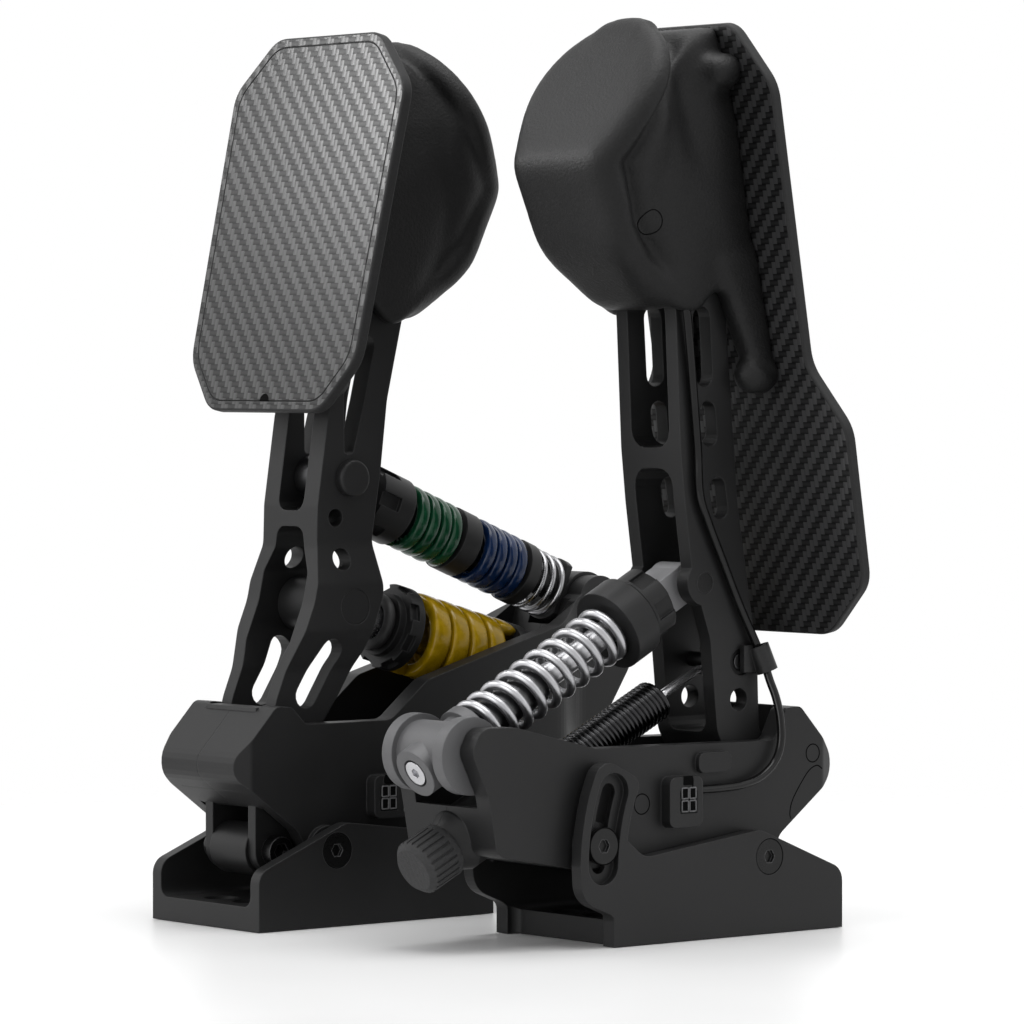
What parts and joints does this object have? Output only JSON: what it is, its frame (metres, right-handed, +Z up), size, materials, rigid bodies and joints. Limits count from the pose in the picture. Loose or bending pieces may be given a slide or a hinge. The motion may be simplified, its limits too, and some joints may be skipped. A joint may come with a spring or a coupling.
{
  "type": "sim racing pedal set",
  "caption": "Free-standing brake and throttle pedals for a driving simulator, with carbon plates, shaker pods, spring stacks and a damper on tilting bodies.",
  "frame": {"origin": "middle of the underside of the brake pedal's base", "axes": "+Z up, +X from the brake's nose to its tail, +Y away from the throttle, which stands turned half round"},
  "size_m": [0.1784, 0.2093, 0.301],
  "materials": {
    "anodised": "satin black anodised",
    "steel": "dark satin steel",
    "polished": "polished steel",
    "carbon": "woven carbon fibre, semi-gloss",
    "moulded": "fine-grained moulded plastic",
    "rubber": "black rubber",
    "green": "gloss green paint",
    "blue": "gloss blue paint",
    "yellow": "gloss yellow paint",
    "spring_steel": "oiled spring steel",
    "cable": "glossy black sheath"
  },
  "bodies": {
    "bases": {"brake_base": "anodised", "throttle_base": "anodised", "tilt_bolts": "steel"},
    "brake_body": {"brake_body_left": "anodised", "brake_body_right": "anodised", "brake_bearings": "polished", "brake_rest_stop": "rubber", "brake_spacer": "steel", "brake_spacer_bolt": "steel", "brake_slot_bolts": "steel", "brake_connector": "moulded", "brake_load_cell": "polished", "lower_seat": "anodised", "yellow_spring": "yellow", "upper_tail_pin": "steel"},
    "brake_arm": {"brake_arm": "anodised", "brake_shaft": "polished", "brake_plate": "carbon", "brake_pod": "moulded", "brake_motor": "polished", "upper_arm_pin": "anodised"},
    "upper_front": {"upper_rod_end": "steel"},
    "upper_collar": {"upper_collar": "anodised"},
    "upper_spacer_front": {"upper_spacer_front": "anodised", "green_spring": "green"},
    "upper_spacer_rear": {"upper_spacer_rear": "anodised", "blue_spring": "blue"},
    "upper_tail": {"upper_tail": "anodised", "silver_spring": "polished"},
    "lower_rod": {"lower_rod": "polished", "lower_barrel": "steel", "lower_buffer": "rubber"},
    "lower_collar": {"lower_collar": "anodised"},
    "throttle_body": {"throttle_body_left": "anodised", "throttle_body_right": "anodised", "throttle_bearings": "polished", "throttle_slot_bolts": "steel", "throttle_connector": "moulded", "trunnion_pins": "steel", "haptic_cable_loop": "cable"},
    "throttle_arm": {"throttle_arm": "anodised", "throttle_shaft": "polished", "throttle_plate": "carbon", "throttle_pod": "moulded", "throttle_motor": "polished", "damper_pin": "steel", "hook_pin": "steel", "cable_clip": "moulded", "haptic_cable": "cable"},
    "damper_tail": {"trunnion_block": "steel", "trunnion_screw": "polished", "damper_cylinder": "polished", "damper_spring": "polished"},
    "damper_front": {"damper_fork": "polished", "damper_rod": "polished"},
    "damper_collar": {"damper_collar": "anodised"},
    "helper_spring": {"helper_spring": "spring_steel"},
    "preload_knob": {"preload_knob": "steel"}
  },
  "joints": [
    {"name": "brake_tilt", "type": "hinge", "parent": "bases", "child": "brake_body", "pos_m": [-0.0173, 0, 0.0254], "axis": [0, -1, 0], "range_deg": [-4.5, 13.5]},
    {"name": "brake_press", "type": "hinge", "parent": "brake_body", "child": "brake_arm", "pos_m": [-0.034, 0, 0.053], "axis": [0, 1, 0], "range_deg": [0, 8], "stiffness_Nm_per_rad": 400, "springref_deg": -2.86, "deforming": ["green_spring", "blue_spring", "silver_spring", "yellow_spring"]},
    {"name": "upper_front_swing", "type": "hinge", "parent": "brake_arm", "child": "upper_front", "pos_m": [0, 0, 0.1492], "axis": [0, 1, 0], "range_deg": [-8.4, 0.3]},
    {"name": "upper_collar_turn", "type": "hinge", "parent": "upper_front", "child": "upper_collar", "pos_m": [0.02317, 0, 0.13981], "axis": [0.9267, 0, -0.3757], "continuous": true},
    {"name": "upper_tail_swing", "type": "hinge", "parent": "brake_body", "child": "upper_tail", "pos_m": [0.111, 0, 0.1042], "axis": [0, 1, 0], "range_deg": [-0.4, 0.4]},
    {"name": "upper_spacer_rear_slide", "type": "slide", "parent": "upper_tail", "child": "upper_spacer_rear", "axis": [0.9267, 0, -0.3757], "range_m": [-0.0001, 0.0056]},
    {"name": "upper_spacer_front_slide", "type": "slide", "parent": "upper_tail", "child": "upper_spacer_front", "axis": [0.9267, 0, -0.3757], "range_m": [-0.0001, 0.01]},
    {"name": "lower_rod_swing", "type": "hinge", "parent": "brake_arm", "child": "lower_rod", "pos_m": [-0.001, 0, 0.106], "axis": [0, 1, 0], "range_deg": [-10.5, 0.3]},
    {"name": "lower_collar_turn", "type": "hinge", "parent": "lower_rod", "child": "lower_collar", "pos_m": [0.02974, 0, 0.09712], "axis": [0.9607, 0, -0.2774], "continuous": true},
    {"name": "throttle_tilt", "type": "hinge", "parent": "bases", "child": "throttle_body", "pos_m": [0.0793, -0.108, 0.0254], "axis": [0, 1, 0], "range_deg": [-4.5, 13.5]},
    {"name": "throttle_press", "type": "hinge", "parent": "throttle_body", "child": "throttle_arm", "pos_m": [0.096, -0.108, 0.053], "axis": [0, -1, 0], "range_deg": [0, 18], "stiffness_Nm_per_rad": 20, "springref_deg": -17.19, "deforming": ["damper_spring", "helper_spring", "haptic_cable_loop"]},
    {"name": "damper_front_swing", "type": "hinge", "parent": "throttle_arm", "child": "damper_front", "pos_m": [0.064, -0.108, 0.1156], "axis": [0, -1, 0], "range_deg": [-20, 0.3]},
    {"name": "damper_collar_turn", "type": "hinge", "parent": "damper_front", "child": "damper_collar", "pos_m": [0.04457, -0.108, 0.10528], "axis": [-0.8831, 0, -0.4692], "continuous": true},
    {"name": "damper_tail_swing", "type": "hinge", "parent": "throttle_body", "child": "damper_tail", "pos_m": [-0.035, -0.108, 0.063], "axis": [0, -1, 0], "range_deg": [-2, 0.3]},
    {"name": "helper_swing", "type": "hinge", "parent": "throttle_body", "child": "helper_spring", "pos_m": [-0.02178, -0.108, 0.03855], "axis": [0, -1, 0], "range_deg": [-1, 0.3]},
    {"name": "knob_turn", "type": "hinge", "parent": "throttle_body", "child": "preload_knob", "pos_m": [-0.04006, -0.108, 0.02949], "axis": [-0.896, 0, -0.4441], "continuous": true}
  ],
  "couplings": [
    {"joint": "upper_front_swing", "follows": "brake_press", "ratio": -1.0125},
    {"joint": "upper_tail_swing", "follows": "brake_press", "ratio": -0.0125},
    {"joint": "upper_spacer_rear_slide", "follows": "brake_press", "m_per_rad": 0.03867},
    {"joint": "upper_spacer_front_slide", "follows": "brake_press", "m_per_rad": 0.07019},
    {"joint": "lower_rod_swing", "follows": "brake_press", "ratio": -1.268},
    {"joint": "damper_front_swing", "follows": "throttle_press", "ratio": -1.087},
    {"joint": "damper_tail_swing", "follows": "throttle_press", "ratio": -0.087},
    {"joint": "helper_swing", "follows": "throttle_press", "ratio": -0.033}
  ]
}
